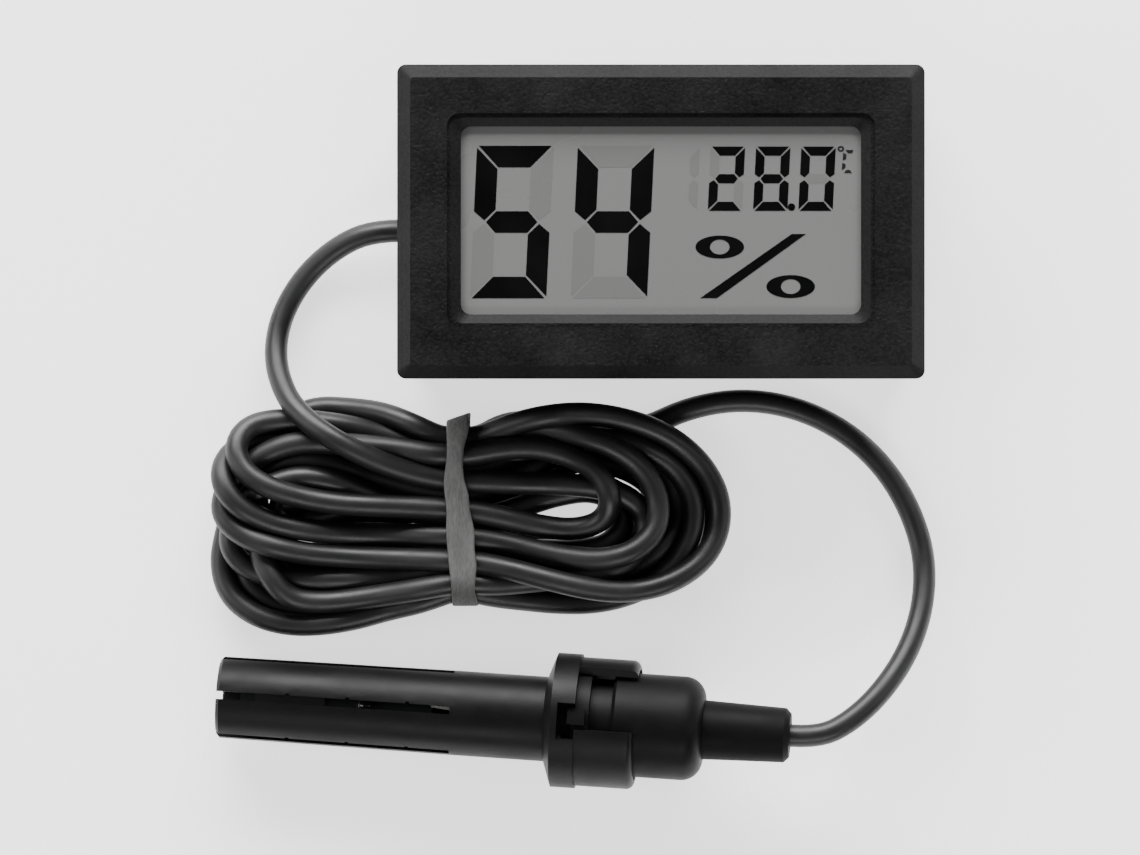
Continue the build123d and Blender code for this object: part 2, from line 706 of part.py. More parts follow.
# display side: out of the case's left side, down to z = 0, round, and up on to the hank
display_route = [
    Vector(grommet_outer_face, exit_y, exit_height),
    Vector(-26.4, exit_y, exit_height),
    Vector(-29.7, -2.2, 2.1),
    Vector(-32.7, -4.9, 1.3),
    Vector(-34.8, -8.5, 1.2),
    Vector(-35.4, -12.3, 2.3),
    Vector(-34.4, -15.7, 4.3),
    Vector(-32.2, -18.6, 5.9),
]

# probe side: out from under the hank's upper right side, round a wide bend, and up to the boot
probe_route = [
    Vector(-1.6, -18.9, 1.15),
    Vector(2.6, -16.9, 1.1),
    Vector(7.4, -16.1, 1.1),
    Vector(12.3, -16.8, 1.1),
    Vector(16.8, -18.9, 1.1),
    Vector(20.4, -22.1, 1.1),
    Vector(22.9, -26.1, 1.1),
    Vector(24.3, -30.6, 1.6),
    Vector(24.1, -35.2, 3.1),
    Vector(22.6, -39.5, 5.1),
    Vector(20.0, -43.2, 6.9),
    Vector(17.2, -45.7, 7.7),
    probe_end + probe_axis * 2.6,
    probe_end,
]

for route_name, route in (("cable_display_lead", display_route), ("cable_probe_lead", probe_route)):
    radii = corner_radii(route)
    with BuildPart() as cable_lead:
        with BuildLine() as centre_line:
            FilletPolyline(*route, radius=radii)
        with BuildSketch(Plane(origin=route[0], z_dir=route[1] - route[0])):
            Circle(cable_radius)
        sweep(path=centre_line.line)
    print(route_name, "radii", [round(radius, 1) for radius in radii])
    length = sum(edge.length for edge in centre_line.edges())
    expected = pi * cable_radius**2 * length
    print(f"  length {length:.1f}, volume {cable_lead.part.volume:.2f} of {expected:.2f}")
    finish(cable_lead, route_name)

# hank of about ten turns, drawn in where the band holds it
hank_outline = [
    (-41.5, -25.6),
    (-40.6, -32.4),
    (-37.2, -36.6),
    (-32.0, -37.2),
    (-24.5, -36.2),
    (band_x, -35.2),
    (-8.5, -35.9),
    (-1.0, -34.4),
    (4.6, -30.6),
    (6.1, -26.2),
    (4.4, -21.2),
    (-1.6, -17.4),
    (-9.0, -16.5),
    (band_x, -17.9),
    (-24.5, -16.9),
    (-31.0, -15.8),
    (-36.2, -17.7),
    (-39.9, -21.0),
]
band_core_middle = band_core_low + band_core_height / 2
band_core = Plane(origin=(band_x, band_core_y, band_core_middle), x_dir=(0, 1, 0), z_dir=(1, 0, 0))
with BuildPart() as cable_hank:
    with BuildSketch():
        with BuildLine():
            Spline(*hank_outline, periodic=True)
        make_face()
    extrude(amount=hank_height)
    fillet(cable_hank.faces().sort_by(Axis.Z)[-1].edges(), hank_top_rounding)
    fillet(cable_hank.faces().sort_by(Axis.Z)[0].edges(), hank_bottom_rounding)
    with BuildSketch(band_core.offset(-band_width / 2 - waist_clearance)):
        Rectangle(2 * band_core_width, 4 * band_core_height)
        RectangleRounded(
            band_core_width - 2 * waist_clearance,
            band_core_height - 2 * waist_clearance,
            band_core_corner,
            mode=Mode.SUBTRACT,
        )
    extrude(amount=band_width + 2 * waist_clearance, mode=Mode.SUBTRACT)
finish(cable_hank, "cable_hank")

with BuildPart() as rubber_band:
    with BuildSketch(band_core.offset(-band_width / 2)):
        RectangleRounded(
            band_core_width + 2 * band_thickness,
            band_core_height + 2 * band_thickness,
            band_core_corner + band_thickness,
        )
        RectangleRounded(band_core_width, band_core_height, band_core_corner, mode=Mode.SUBTRACT)
    extrude(amount=band_width)
finish(rubber_band, "rubber_band")
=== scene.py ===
"""Looks of a panel thermometer and hygrometer with a wired probe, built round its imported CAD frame."""

from math import cos, pi, radians, sin

import bmesh
import bpy
import numpy as np
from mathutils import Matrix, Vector


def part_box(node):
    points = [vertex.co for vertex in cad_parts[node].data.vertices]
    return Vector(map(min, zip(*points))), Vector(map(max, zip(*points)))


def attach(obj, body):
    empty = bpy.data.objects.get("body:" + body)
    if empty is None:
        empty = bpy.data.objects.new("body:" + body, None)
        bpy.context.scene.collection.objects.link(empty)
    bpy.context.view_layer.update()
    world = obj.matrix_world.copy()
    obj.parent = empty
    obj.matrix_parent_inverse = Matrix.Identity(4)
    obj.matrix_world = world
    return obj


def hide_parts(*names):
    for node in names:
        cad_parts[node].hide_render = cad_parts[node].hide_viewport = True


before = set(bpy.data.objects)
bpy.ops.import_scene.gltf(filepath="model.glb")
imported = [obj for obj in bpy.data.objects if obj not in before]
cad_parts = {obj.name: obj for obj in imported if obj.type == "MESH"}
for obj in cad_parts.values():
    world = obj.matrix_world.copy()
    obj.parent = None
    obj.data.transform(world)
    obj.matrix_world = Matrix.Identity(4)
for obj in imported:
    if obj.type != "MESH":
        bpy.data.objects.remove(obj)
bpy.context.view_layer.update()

MM = 0.001

bezel_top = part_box("front_bezel")[1].z
film_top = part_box("lcd_front_polariser")[1].z
band_low, band_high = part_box("rubber_band")

# ======================= camera =======================

camera_height = 1.5
frame_width_in_view = 103.6 * MM  # width of the view at the height of the display's face
view_centre = Vector((-8.27, -18.73, 0)) * MM
sensor_width = 36.0

camera_data = bpy.data.cameras.new("camera")
camera_data.sensor_width = sensor_width
camera_data.lens = sensor_width * camera_height / frame_width_in_view
camera_data.clip_end = 10.0
camera = bpy.data.objects.new("camera", camera_data)
camera.location = view_centre + Vector((0, 0, bezel_top + camera_height))
bpy.context.scene.collection.objects.link(camera)
bpy.context.scene.camera = camera

# ======================= cable =======================

cable_radius = 1.05
cable_diameter = 2 * cable_radius

# The points of the two free stretches, in millimetres, as the CAD's tubes have them.
probe_tilt, probe_swing, probe_length = radians(4.42), radians(3.8), 52.5
probe_axis = Vector((
    cos(probe_tilt) * cos(probe_swing),
    -cos(probe_tilt) * sin(probe_swing),
    sin(probe_tilt),
))
tip_radius = 3.73
boot_lead = 2.6  # how far the cable runs straight out of the boot
probe_tip = Vector((-40.4, -43.4, tip_radius * cos(probe_tilt)))
probe_end = probe_tip + probe_axis * probe_length
display_route = [
    (-23.6, -0.7, 2.85),
    (-26.4, -0.7, 2.85),
    (-29.7, -2.2, 2.1),
    (-32.7, -4.9, 1.3),
    (-34.8, -8.5, 1.2),
    (-35.4, -12.3, 2.3),
    (-34.4, -15.7, 4.3),
    (-32.2, -18.6, 5.9),
]
probe_route = [
    (-1.6, -18.9, 1.15),
    (2.6, -16.9, 1.1),
    (7.4, -16.1, 1.1),
    (12.3, -16.8, 1.1),
    (16.8, -18.9, 1.1),
    (20.4, -22.1, 1.1),
    (22.9, -26.1, 1.1),
    (24.3, -30.6, 1.6),
    (24.1, -35.2, 3.1),
    (22.6, -39.5, 5.1),
    (20.0, -43.2, 6.9),
    (17.2, -45.7, 7.7),
    tuple(probe_end + probe_axis * boot_lead),
    tuple(probe_end),
]

# The hank is ten turns. Each turn runs right along the upper side, round the right end, back left
# along the lower side and round the left end. A strand is where a run passes under the band, as its
# y and its layer, with layer 0 at the bottom. An end has the place where its curve leaves the run,
# its furthest place, the place where its curve joins the next run, the height of its furthest place,
# and how firmly the leaving and the returning side keep to this plan when the turns are settled.
band_x = -18.3
layer_height = [1.98, 3.8, 5.62]
upper_strands = [
    (-23.7, 2), (-19.3, 2), (-21.4, 2), (-20.3, 1), (-22.6, 1), (-25.0, 1),
    (-27.4, 1), (-21.6, 0), (-23.9, 0), (-26.6, 0), (-19.4, 0),
]
lower_strands = [
    (-33.3, 2), (-31.0, 2), (-26.2, 2), (-28.6, 2), (-34.0, 1),
    (-32.1, 1), (-29.8, 1), (-33.2, 0), (-30.8, 0), (-28.2, 0),
]
firm, loose = 0.12, 0.015
right_ends = [
    ((-9.0, -23.9), (-0.4, -27.2), (-6.5, -32.4), 3.1, firm, firm),
    ((-8.0, -17.4), (5.9, -26.6), (-3.4, -33.9), 5.6, firm, firm),
    ((-13.0, -20.2), (-3.5, -26.4), (-8.2, -28.25), 6.4, firm, firm),
    ((-10.4, -18.9), (0.3, -26.6), (-5.7, -31.1), 5.0, firm, firm),
    ((-6.5, -19.2), (3.5, -26.6), (-7.5, -34.9), 3.4, firm, firm),
    ((-6.0, -19.8), (2.4, -26.4), (-6.0, -32.7), 1.1, firm, loose),
    ((-5.9, -24.1), (-2.1, -27.1), (-6.6, -30.1), 3.1, firm, firm),
    ((-9.0, -18.2), (5.3, -26.0), (-7.0, -34.2), 1.1, firm, loose),
    ((-8.0, -21.6), (1.4, -26.6), (-7.0, -31.6), 1.1, firm, loose),
    ((-6.0, -23.6), (-1.6, -27.1), (-6.4, -30.6), 1.1, firm, firm),
]
left_ends = [
    ((-33.0, -35.0), (-37.4, -25.4), (-31.0, -16.6), 1.6, firm, firm),
    ((-28.0, -30.6), (-41.5, -25.6), (-32.0, -19.6), 3.6, firm, loose),
    ((-27.0, -25.8), (-39.8, -20.7), (-36.0, -17.9), 7.6, firm, firm),
    ((-28.5, -28.5), (-41.2, -23.1), (-34.0, -18.6), 5.4, firm, loose),
    ((-32.5, -37.0), (-40.3, -32.2), (-32.0, -21.4), 1.2, firm, loose),
    ((-32.5, -32.7), (-40.9, -28.8), (-31.0, -22.0), 2.2, firm, loose),
    ((-31.0, -31.4), (-36.4, -26.0), (-30.6, -20.8), 1.4, firm, loose),
    ((-32.0, -35.8), (-39.4, -30.8), (-31.0, -22.6), 1.1, firm, loose),
    ((-32.3, -33.4), (-35.8, -29.9), (-31.6, -26.4), 1.1, firm, firm),
    ((-30.0, -29.2), (-34.6, -24.6), (-29.6, -19.8), 1.1, firm, loose),
]
run_steps, end_steps = 3, 5
run_rise, end_rise = 0.35, 0.65  # shares of the climb between a strand's layer and its end's height

# Up to this far from the band's middle, the strands' centres stay in a rounded box inside it.
band_hold = 2.3
waist_y, waist_z = -26.6, 3.9
waist_half_y, waist_half_z, waist_round = 7.9 - cable_radius, 3.0 - cable_radius, 1.35


def smooth_step(share):
    return share * share * (3 - 2 * share)


def end_of_turn(start, end, stop):
    """Places and firmness along one end of a turn, from its strand to the next one."""
    (leave_x, leave_y), (far_x, far_y), (return_x, return_y), far_height, leaving, returning = end
    (start_y, start_layer), (stop_y, stop_layer) = start, stop
    start_z, stop_z = layer_height[start_layer], layer_height[stop_layer]
    points = []
    for step in range(run_steps):
        share = step / run_steps
        x = band_x + (leave_x - band_x) * share
        y = start_y + (leave_y - start_y) * smooth_step(share)
        points.append((x, y, start_z + (far_height - start_z) * run_rise * share, leaving))
    for step in range(end_steps):
        share = step / end_steps
        x = leave_x + (far_x - leave_x) * sin(pi / 2 * share)
        y = far_y + (leave_y - far_y) * cos(pi / 2 * share)
        points.append((x, y, start_z + (far_height - start_z) * (run_rise + end_rise * share), leaving))
    for step in range(end_steps):
        share = step / end_steps
        x = return_x + (far_x - return_x) * cos(pi / 2 * share)
        y = far_y + (return_y - far_y) * sin(pi / 2 * share)
        points.append((x, y, far_height + (stop_z - far_height) * end_rise * share, returning))
    for step in range(run_steps):
        share = step / run_steps
        x = return_x + (band_x - return_x) * share
        y = return_y + (stop_y - return_y) * smooth_step(share)
        z = far_height + (stop_z - far_height) * (end_rise + run_rise * share)
        points.append((x, y, z, returning))
    return points


def evenly(points, spacing):
    """The same line with points an even distance apart."""
    points = np.array(points, float)
    steps = np.linalg.norm(np.diff(points[:, :3], axis=0), axis=1)
    along = np.concatenate([[0], np.cumsum(steps)])
    places = np.linspace(0, along[-1], int(round(along[-1] / spacing)) + 1)
    return np.stack([np.interp(places, along, column) for column in points.T], axis=1)


# How the hank settles in each round: shares of the way that a point moves, and sizes in millimetres.
settle_rounds = 260
smoothing = 0.2
sinking = 0.012
least_bend = 3.4  # radius below which a bend is opened
opening = 0.5
push_ways = np.array([0.16, 0.16, 0.34])  # the turns slide over each other more easily than aside
push_rounds = 2
stretch_back = 0.4
length_give = 0.06
neighbours = 4  # points along the cable that never push each other
lowest_centre = cable_radius + 0.05


def settle(plan, free, rounds):
    """Push turns that cut into each other apart, keep the cable's length, and let it sink and smooth."""
    line, firmness = plan[:, :3].copy(), plan[:, 3:]
    index = np.arange(len(line))
    apart = np.abs(index[:, None] - index[None, :]) > neighbours
    rest = np.linalg.norm(np.diff(line, axis=0), axis=1)
    free = free.astype(float)[:, None]
    for _ in range(rounds):
        line[1:-1] += free[1:-1] * smoothing * ((line[:-2] + line[2:]) / 2 - line[1:-1])
        line[:, :2] += free * firmness * (plan[:, :2] - line[:, :2])
        line[:, 2:] -= free * sinking
        sag = (line[:-4] + line[4:]) / 2 - line[2:-2]
        span = np.linalg.norm(line[4:] - line[:-4], axis=1)
        depth = np.linalg.norm(sag, axis=1)
        share = np.clip(1 - span**2 / (8 * least_bend * np.maximum(depth, 1e-6)), 0, 1)[:, None]
        line[2:-2] += free[2:-2] * opening * share * sag
        for _ in range(push_rounds):
            squares = (line**2).sum(1)
            gap = np.sqrt(np.maximum(squares[:, None] + squares[None] - 2 * line @ line.T, 1e-6))
            push = np.where(apart & (gap < cable_diameter), (cable_diameter - gap) / gap, 0)
            line += free * push_ways * (line * push.sum(1)[:, None] - push @ line)
            step = np.diff(line, axis=0)
            length = np.linalg.norm(step, axis=1)
            fix = (stretch_back * (length - rest) / length)[:, None] * step
            rest += length_give * (length - rest)
            line[:-1] += free[:-1] * fix
            line[1:] -= free[1:] * fix
            line[:, 2] = np.maximum(line[:, 2], lowest_centre)
            held = np.abs(line[:, 0] - band_x) < band_hold
            across = np.clip(line[held, 1] - waist_y, -waist_half_y, waist_half_y)
            past_flat = np.clip(np.abs(across) - (waist_half_y - waist_round), 0, waist_round)
            reach = waist_half_z - waist_round + np.sqrt(waist_round**2 - past_flat**2)
            line[held, 1] = waist_y + across
            line[held, 2] = np.clip(line[held, 2], waist_z - reach, waist_z + reach)
    return line


# The cable climbs over the hank to its first strand, and leaves its last one along the floor.
climb = [(-29.4, -20.1, 7.4), (-26.1, -21.8, 7.0), (-22.6, -23.0, 6.4)]
descent = [(band_x, -19.4, 1.98), (-14.0, -18.6, 1.6), (-9.8, -18.4, 1.2), (-5.6, -19.4, 1.15)]


def hank_plan():
    """Places and firmness of the whole hank, from the display's free stretch to the probe's."""
    points = [(*place, firm) for place in display_route[-2:] + climb]
    for turn, (lower, right, left) in enumerate(zip(lower_strands, right_ends, left_ends)):
        points += end_of_turn(upper_strands[turn], right, lower)
        points += end_of_turn(lower, left, upper_strands[turn + 1])
    points += [(*place, loose) for place in descent]
    return points + [(*probe_route[0], firm)]


# The free stretches beside the hank are held still, and only push the turns off.
spacing = 1.05
held_probe_points = 6
lead_in = evenly([(*place, firm) for place in display_route[:-1]], spacing)[:-1]
turns = evenly(hank_plan(), spacing)
lead_out = evenly([(*place, firm) for place in probe_route[:held_probe_points]], spacing)[1:]
plan = np.concatenate([lead_in, turns, lead_out])
free = np.zeros(len(plan), bool)
free[len(lead_in) + 1 : len(lead_in) + len(turns) - 1] = True
settled = settle(plan, free, settle_rounds)
control_step = 3
first, last = len(lead_in) + control_step, len(lead_in) + len(turns) - 2
hank_points = [tuple(place) for place in settled[first:last:control_step]]

route = display_route[:-1] + hank_points + probe_route


def cord_curve(name, points, radius):
    """A round cord along a NURBS line through the route's control points, in millimetres."""
    curve = bpy.data.curves.new(name, "CURVE")
    curve.dimensions = "3D"
    curve.bevel_depth = radius * MM
    curve.bevel_resolution = 7
    curve.resolution_u = 5
    spline = curve.splines.new("NURBS")
    spline.points.add(len(points) - 1)
    for point, place in zip(spline.points, points):
        point.co = (*(Vector(place) * MM), 1)
    spline.order_u = 3
    spline.use_endpoint_u = True
    piece = bpy.data.objects.new(name, curve)
    bpy.context.scene.collection.objects.link(piece)
    return piece


cable = cord_curve("cable", route, cable_radius)

# ======================= rubber band =======================


def mesh_piece(name, maker):
    """Turn a bmesh into an object in the scene, with its faces turned outwards."""
    bmesh.ops.recalc_face_normals(maker, faces=maker.faces)
    mesh = bpy.data.meshes.new(name)
    maker.to_mesh(mesh)
    maker.free()
    piece = bpy.data.objects.new(name, mesh)
    bpy.context.scene.collection.objects.link(piece)
    return piece


def key_value(keys, place):
    """Value at a place between sorted (place, value) keys, eased from one to the next."""
    if place <= keys[0][0]:
        return keys[0][1]
    for (low, before), (high, after) in zip(keys, keys[1:]):
        if place <= high:
            return before + (after - before) * smooth_step((place - low) / (high - low))
    return keys[-1][1]


band_inset = 0.42  # from the CAD band's outside to the middle of the sheet
band_middle = (band_low + band_high) / 2 / MM
band_half_y = (band_high.y - band_low.y) / 2 / MM - band_inset
band_half_z = (band_high.z - band_low.z) / 2 / MM - band_inset
band_corner = 2.7
# Across the top, by distance from the band's upper edge: its centre in x, its width, and its lean.
band_drift = [(0, -18.5), (4, -18.9), (9, -18.35), (17, -17.9)]
band_widths = [(0, 2.2), (3.4, 1.5), (6.5, 2.2), (9.5, 2.5), (17, 2.3)]
band_leans = [(0, 0.32), (2.6, 0.5), (5.5, 0.05), (10, -0.1), (17, 0.0)]
band_sheet = 0.62
band_peak = 0.8  # how far the right edge stands out where the band goes over the hank's upper side
band_lift = 0.5  # share of its lean by which an edge rises
band_hollow = 0.62  # thickness of the strip between its edges, as a share of theirs
band_ripple = 0.05
band_around, band_across = 120, 20


def band_path(share):
    """Place (y, z) and outward direction on the band's closed path, a rounded rectangle."""
    flat_y, flat_z = 2 * (band_half_y - band_corner), 2 * (band_half_z - band_corner)
    quarter = band_corner * pi / 2
    at = share * 2 * (flat_y + flat_z + 2 * quarter)
    sides = [(flat_y, 0), (flat_z, 1), (flat_y, 2), (flat_z, 3)]
    corner_y, corner_z = flat_y / 2, flat_z / 2
    for length, side in sides:
        angle = pi / 2 - side * pi / 2
        out = (cos(angle), sin(angle))
        along = (sin(angle), -cos(angle))
        reach = band_half_z if side % 2 == 0 else band_half_y
        if at <= length:
            step = at - length / 2
            return out[0] * reach + along[0] * step, out[1] * reach + along[1] * step, out
        at -= length
        if at <= quarter:
            turn = angle - at / band_corner
            centre_y = corner_y if side in (0, 1) else -corner_y
            centre_z = -corner_z if side in (1, 2) else corner_z
            turned_out = (cos(turn), sin(turn))
            y = centre_y + band_corner * turned_out[0]
            return y, centre_z + band_corner * turned_out[1], turned_out
        at -= quarter
    return 0.0, band_half_z, (0, 1)


def band_section(width, thickness, place):
    """Outline of the stretched band: a thin strip with two thick rolled edges and a hollow between."""
    points = []
    squareness = 0.55
    for step in range(band_across):
        angle = 2 * pi * step / band_across
        across = cos(angle)
        edge = abs(across) ** 3
        hollow = band_hollow + (1 - band_hollow) * edge + band_ripple * sin(9 * place + 2 * across)
        rise = sin(angle)
        rise = (abs(rise) ** squareness) * (1 if rise >= 0 else -1)
        points.append((across * width / 2, rise * thickness / 2 * hollow))
    return points


def build_band():
    """The band as a closed strip round the hank, narrower and leaning where it is twisted."""
    maker = bmesh.new()
    rings = []
    for step in range(band_around):
        share = step / band_around
        y, z, out = band_path(share)
        top_distance = band_half_y - y
        centre_x = key_value(band_drift, top_distance)
        width = key_value(band_widths, top_distance)
        lean = key_value(band_leans, top_distance) * max(out[1], 0)
        wobble = 0.05 * sin(31 * share) + 0.03 * sin(83 * share)
        ring = []
        for across, rise in band_section(width * (1 + wobble), band_sheet, 20 * share):
            x = across * cos(lean) - rise * sin(lean)
            lift = across * sin(lean) * band_lift + rise * cos(lean)
            lift += band_peak * max(out[0], 0) ** 2 * (0.5 + across / width)
            place = (
                centre_x + x + wobble,
                band_middle.y + y + out[0] * lift,
                band_middle.z + z + out[1] * lift,
            )
            ring.append(maker.verts.new(Vector(place) * MM))
        rings.append(ring)
    for ring, after in zip(rings, rings[1:] + rings[:1]):
        for k in range(band_across):
            following = (k + 1) % band_across
            maker.faces.new((ring[k], ring[following], after[following], after[k]))
    piece = mesh_piece("hank_band", maker)
    for face in piece.data.polygons:
        face.use_smooth = True
    return piece


hank_band = build_band()

# ======================= liquid crystal digits =======================

film_face = film_top / MM
segment_height = 0.03
digit_lean = 0.048


def segments(width, height, stroke, gap):
    """The seven segments of a digit as outlines, named a to g in the usual order."""
    half, middle, nick = stroke / 2, height / 2, gap * 0.4
    upper_left = [
        (0, height - gap),
        (stroke, height - stroke - gap),
        (stroke, middle + half + gap),
        (half, middle + gap),
        (0, middle + half),
    ]
    top_bar = [
        (gap, height),
        (stroke + nick, height - stroke),
        (width - stroke - nick, height - stroke),
        (width - gap, height),
    ]
    middle_bar = [
        (half + gap, middle),
        (stroke + nick, middle - half),
        (width - stroke - nick, middle - half),
        (width - half - gap, middle),
        (width - stroke - nick, middle + half),
        (stroke + nick, middle + half),
    ]
    right = [(width - x, y) for x, y in upper_left]
    return {
        "a": top_bar,
        "b": right,
        "c": [(x, height - y) for x, y in right],
        "d": [(x, height - y) for x, y in top_bar],
        "e": [(x, height - y) for x, y in upper_left],
        "f": upper_left,
        "g": middle_bar,
    }


def add_prism(maker, outline, low, height):
    """Add a thin closed prism over an outline in millimetres."""
    rows = [[maker.verts.new(Vector((x, y, z)) * MM) for x, y in outline] for z in (low, low + height)]
    maker.faces.new(rows[0])
    maker.faces.new(rows[1])
    count = len(outline)
    for k in range(count):
        after = (k + 1) % count
        maker.faces.new((rows[0][k], rows[0][after], rows[1][after], rows[1][k]))


def add_ring(maker, centre, outer, inner, low, height, steps=48):
    """Add an elliptical ring in millimetres, as wide and high as its outer and inner half sizes say."""
    circle = [(cos(2 * pi * k / steps), sin(2 * pi * k / steps)) for k in range(steps)]
    walls = []
    for (half_x, half_y), z in ((outer, low), (outer, low + height), (inner, low + height), (inner, low)):
        places = [(centre[0] + half_x * c, centre[1] + half_y * s, z) for c, s in circle]
        walls.append([maker.verts.new(Vector(place) * MM) for place in places])
    for wall, following in zip(walls, walls[1:] + walls[:1]):
        for k in range(steps):
            after = (k + 1) % steps
            maker.faces.new((wall[k], wall[after], following[after], following[k]))


def leaned(outline, left, bottom, height):
    """A digit's outline in its place on the display, leaning a little to the right."""
    return [(left + x + (y - height / 2) * digit_lean, bottom + y) for x, y in outline]


big_digit = {"width": 6.95, "height": 13.86, "stroke": 1.95, "gap": 0.17}
big_bottom, big_left, big_pitch = -6.97, -17.05, 9.17
small_digit = {"width": 3.12, "height": 5.84, "stroke": 0.82, "gap": 0.13}
small_bottom, small_left, small_pitch = 0.98, 4.4, 4.12

# Each digit: its left edge, bottom edge, form, the segments that it has and those that are lit. The
# first of the small ones only has the two segments of a figure one.
all_segments = "abcdefg"
digits = [
    (big_left, big_bottom, big_digit, all_segments, "afgcd"),
    (big_left + big_pitch, big_bottom, big_digit, all_segments, "fgbc"),
    (small_left, small_bottom, small_digit, all_segments, "abged"),
    (small_left + small_pitch, small_bottom, small_digit, all_segments, "abcdefg"),
    (small_left + 2 * small_pitch, small_bottom, small_digit, all_segments, "abcdef"),
    (small_left - small_pitch, small_bottom, small_digit, "bc", ""),
]
lit, faint, ghost = bmesh.new(), bmesh.new(), bmesh.new()
for left, bottom, form, present, on in digits:
    for letter, outline in segments(**form).items():
        if letter not in present:
            continue
        target, height = (lit, segment_height) if letter in on else (ghost, segment_height / 2)
        add_prism(target, leaned(outline, left, bottom, form["height"]), film_face, height)

# the decimal point
dot_x, dot_y, dot_radius, dot_sides = 11.87, 1.32, 0.34, 16
dot_turns = [2 * pi * k / dot_sides for k in range(dot_sides)]
dot = [(dot_x + dot_radius * cos(turn), dot_y + dot_radius * sin(turn)) for turn in dot_turns]
add_prism(lit, dot, film_face, segment_height)

# the percent sign: two flat rings and a stroke
percent_outer, percent_inner = (2.21, 1.04), (0.89, 0.68)
percent_stroke = [(3.58, -6.96), (5.09, -6.96), (13.18, -1.13), (11.9, -1.13)]
for ring_centre in ((5.35, -2.31), (11.8, -5.91)):
    add_ring(lit, ring_centre, percent_outer, percent_inner, film_face, segment_height)
add_prism(lit, percent_stroke, film_face, segment_height)

# the degree sign and its letter C, in four short strokes
add_ring(faint, (16.36, 6.61), (0.3, 0.26), (0.14, 0.12), film_face, segment_height, 20)
for outline in (
    [(16.8, 6.5), (17.5, 6.5), (17.4, 6.22), (17.0, 6.22)],
    [(16.58, 6.28), (16.88, 6.1), (16.84, 5.68), (16.54, 5.56)],
    [(16.5, 5.34), (16.8, 5.22), (16.76, 4.86), (16.44, 4.7)],
    [(16.66, 4.42), (17.36, 4.42), (17.2, 4.7), (16.86, 4.7)],
):
    add_prism(faint, outline, film_face, segment_height)
lcd_lit = mesh_piece("lcd_digits", lit)
lcd_faint = mesh_piece("lcd_faint_marks", faint)
lcd_ghost = mesh_piece("lcd_resting_segments", ghost)

# ======================= floor and light =======================


floor_half_size = 1.5
floor_clearance = 0.05 * MM


def build_floor():
    """A plain square table top just under the object."""
    mesh = bpy.data.meshes.new("floor")
    maker = bmesh.new()
    bmesh.ops.create_grid(maker, x_segments=1, y_segments=1, size=floor_half_size)
    maker.to_mesh(mesh)
    maker.free()
    made = bpy.data.objects.new("floor", mesh)
    made.location = (0, 0, -floor_clearance)
    bpy.context.scene.collection.objects.link(made)
    return made


floor = build_floor()


def area_light(name, place, size, power):
    """A rectangular soft box that faces the middle of the view."""
    data = bpy.data.lights.new(name, "AREA")
    data.shape = "RECTANGLE"
    data.size, data.size_y = size
    data.energy = power
    lamp = bpy.data.objects.new(name, data)
    lamp.location = place
    lamp.rotation_mode = "QUATERNION"
    lamp.rotation_quaternion = (view_centre - Vector(place)).to_track_quat("-Z", "Y")
    bpy.context.scene.collection.objects.link(lamp)


area_light("key_top", (-0.06, 0.62, 0.34), (0.9, 0.34), 18.5)
area_light("fill_left", (-0.62, -0.02, 0.4), (0.25, 0.6), 2.2)
area_light("fill_front", (0.04, -0.62, 0.5), (0.6, 0.2), 3.0)
area_light("fill_right", (0.62, -0.02, 0.45), (0.2, 0.5), 1.0)

floor_glow = 1.4  # the floor is a translucent table, lit from below
room_light = 0.12
world = bpy.data.worlds.new("world")
bpy.context.scene.world = world
world.use_nodes = True
world.node_tree.nodes["Background"].inputs["Color"].default_value = (1, 1, 1, 1)
world.node_tree.nodes["Background"].inputs["Strength"].default_value = room_light

# ======================= materials =======================

coat_roughness = 0.12
flat_from, flat_to = 0.93, 0.985  # a flat face's normal lies this close to one of the axes
patch_detail, grain_detail = 4.0, 2.0
noise_low, noise_high = 0.3, 0.7  # nearly all of a noise's values lie between these


